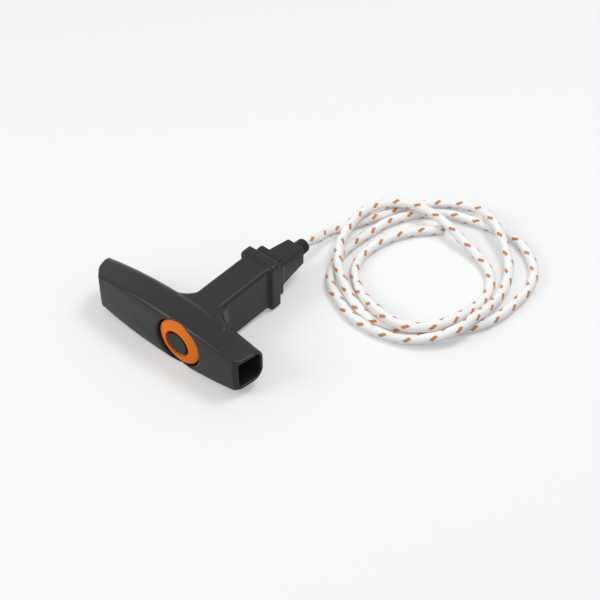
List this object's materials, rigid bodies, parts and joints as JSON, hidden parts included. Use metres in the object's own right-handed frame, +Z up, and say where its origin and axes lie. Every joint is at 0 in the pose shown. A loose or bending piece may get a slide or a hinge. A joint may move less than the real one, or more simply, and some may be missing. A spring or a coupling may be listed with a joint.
{
  "type": "recoil starter handle",
  "caption": "T-shaped starter pull grip with hollow crossbar ends, coloured round cap, spring-damped neck, tapered rope guide and a loose length of braided rope.",
  "frame": {"origin": "on the surface the grip lies on, below the middle of the handle without its free rope", "axes": "+X along the crossbar towards its shorter end, +Y along the neck towards the rope exit, +Z up"},
  "size_m": [0.1466, 0.1639, 0.0256],
  "materials": {
    "grip_plastic": "fine matte, moulded",
    "ring_plastic": "satin, moulded",
    "button_plastic": "satin, moulded",
    "guide_plastic": "matte, moulded",
    "bush_plastic": "matte",
    "cup_metal": "satin",
    "spring_steel": "satin",
    "rope_fibre": "woven, with orange tracer flecks"
  },
  "bodies": {
    "grip": {"grip_shell": "grip_plastic", "cap_ring": "ring_plastic", "cap_button": "button_plastic", "guide_cone": "guide_plastic", "exit_bush": "bush_plastic", "damper_spring": "spring_steel"},
    "rope_end_unit": {"rope_nipple": "cup_metal", "rope_knot": "rope_fibre", "rope_inner": "rope_fibre", "starter_rope": "rope_fibre"}
  },
  "joints": [
    {"name": "damper_slide", "type": "slide", "parent": "grip", "child": "rope_end_unit", "axis": [0, 1, 0], "range_m": [0, 0.01], "stiffness_N_per_m": 3000, "deforming": ["damper_spring"]}
  ]
}
